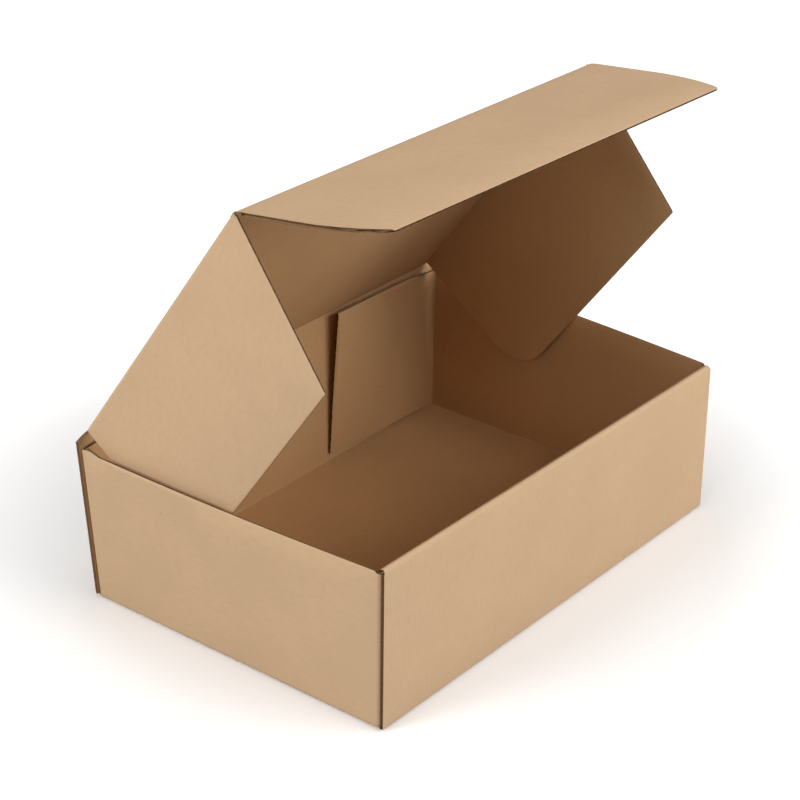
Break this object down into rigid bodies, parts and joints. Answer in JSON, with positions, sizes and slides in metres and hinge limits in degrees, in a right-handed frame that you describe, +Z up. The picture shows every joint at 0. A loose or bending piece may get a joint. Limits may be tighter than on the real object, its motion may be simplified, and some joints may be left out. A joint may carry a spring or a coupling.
{
  "type": "corrugated mailer box",
  "caption": "Plain kraft corrugated mailer box folded from one sheet, with a rolled front wall, its hinged tuck lid propped half open and the lid's side wings inside the walls.",
  "frame": {"origin": "centre of the base's underside, on the surface the box stands on", "axes": "+X along the front wall to the right seen from the front, +Y from the front wall to the back wall, +Z up"},
  "size_m": [0.33, 0.2279, 0.2965],
  "materials": {
    "kraft_board": "uncoated"
  },
  "bodies": {
    "tray": {"tray": "kraft_board"},
    "lid": {"lid_panel": "kraft_board"},
    "left_wing": {"lid_left_wing": "kraft_board"},
    "right_wing": {"lid_right_wing": "kraft_board"},
    "front_flap": {"lid_front_flap": "kraft_board"}
  },
  "joints": [
    {"name": "lid_hinge", "type": "hinge", "parent": "tray", "child": "lid", "pos_m": [0, 0.1123, 0.1085], "axis": [-1, 0, 0], "range_deg": [-49.5, 125.5]},
    {"name": "left_wing_fold", "type": "hinge", "parent": "lid", "child": "left_wing", "pos_m": [-0.1599, 0.11132, 0.1078], "axis": [0, -0.5807, 0.8141], "range_deg": [0, 85]},
    {"name": "right_wing_fold", "type": "hinge", "parent": "lid", "child": "right_wing", "pos_m": [0.1599, 0.11132, 0.1078], "axis": [0, 0.5807, -0.8141], "range_deg": [0, 85]},
    {"name": "front_flap_fold", "type": "hinge", "parent": "lid", "child": "front_flap", "pos_m": [0, -0.01336, 0.28468], "axis": [1, 0, 0], "range_deg": [-48.5, 47.5]}
  ]
}
